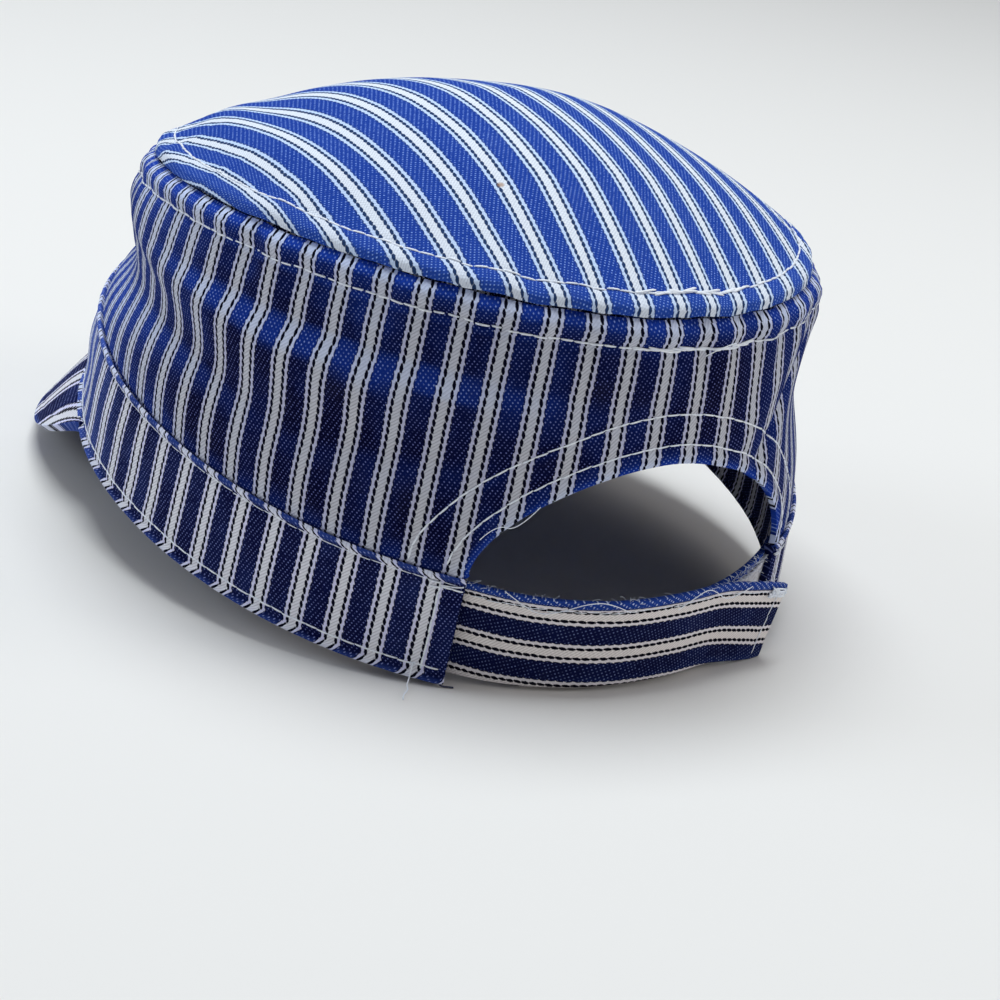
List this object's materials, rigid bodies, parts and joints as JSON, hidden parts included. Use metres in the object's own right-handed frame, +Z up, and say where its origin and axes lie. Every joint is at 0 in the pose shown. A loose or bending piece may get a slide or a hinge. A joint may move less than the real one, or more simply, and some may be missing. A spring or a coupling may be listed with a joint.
{
  "type": "railroad engineer cap",
  "caption": "Soft striped denim cap with a domed oval top, creased side wall, doubled headband, drooping short visor, and an arched back opening closed by crossing straps.",
  "frame": {"origin": "under the middle of the cap's box, on the surface it stands on", "axes": "+Z up, -Y the way the wearer faces, +X the wearer's left"},
  "size_m": [0.1584, 0.2164, 0.1088],
  "materials": {
    "crown_denim": "matte",
    "band_denim": "matte",
    "visor_denim": "matte",
    "strap_denim": "matte",
    "loop_tape": "matte"
  },
  "bodies": {
    "root": {"top_panel": "crown_denim", "side_wall": "crown_denim", "headband": "band_denim", "visor": "visor_denim", "outer_strap": "strap_denim", "inner_strap": "loop_tape"}
  },
  "joints": []
}
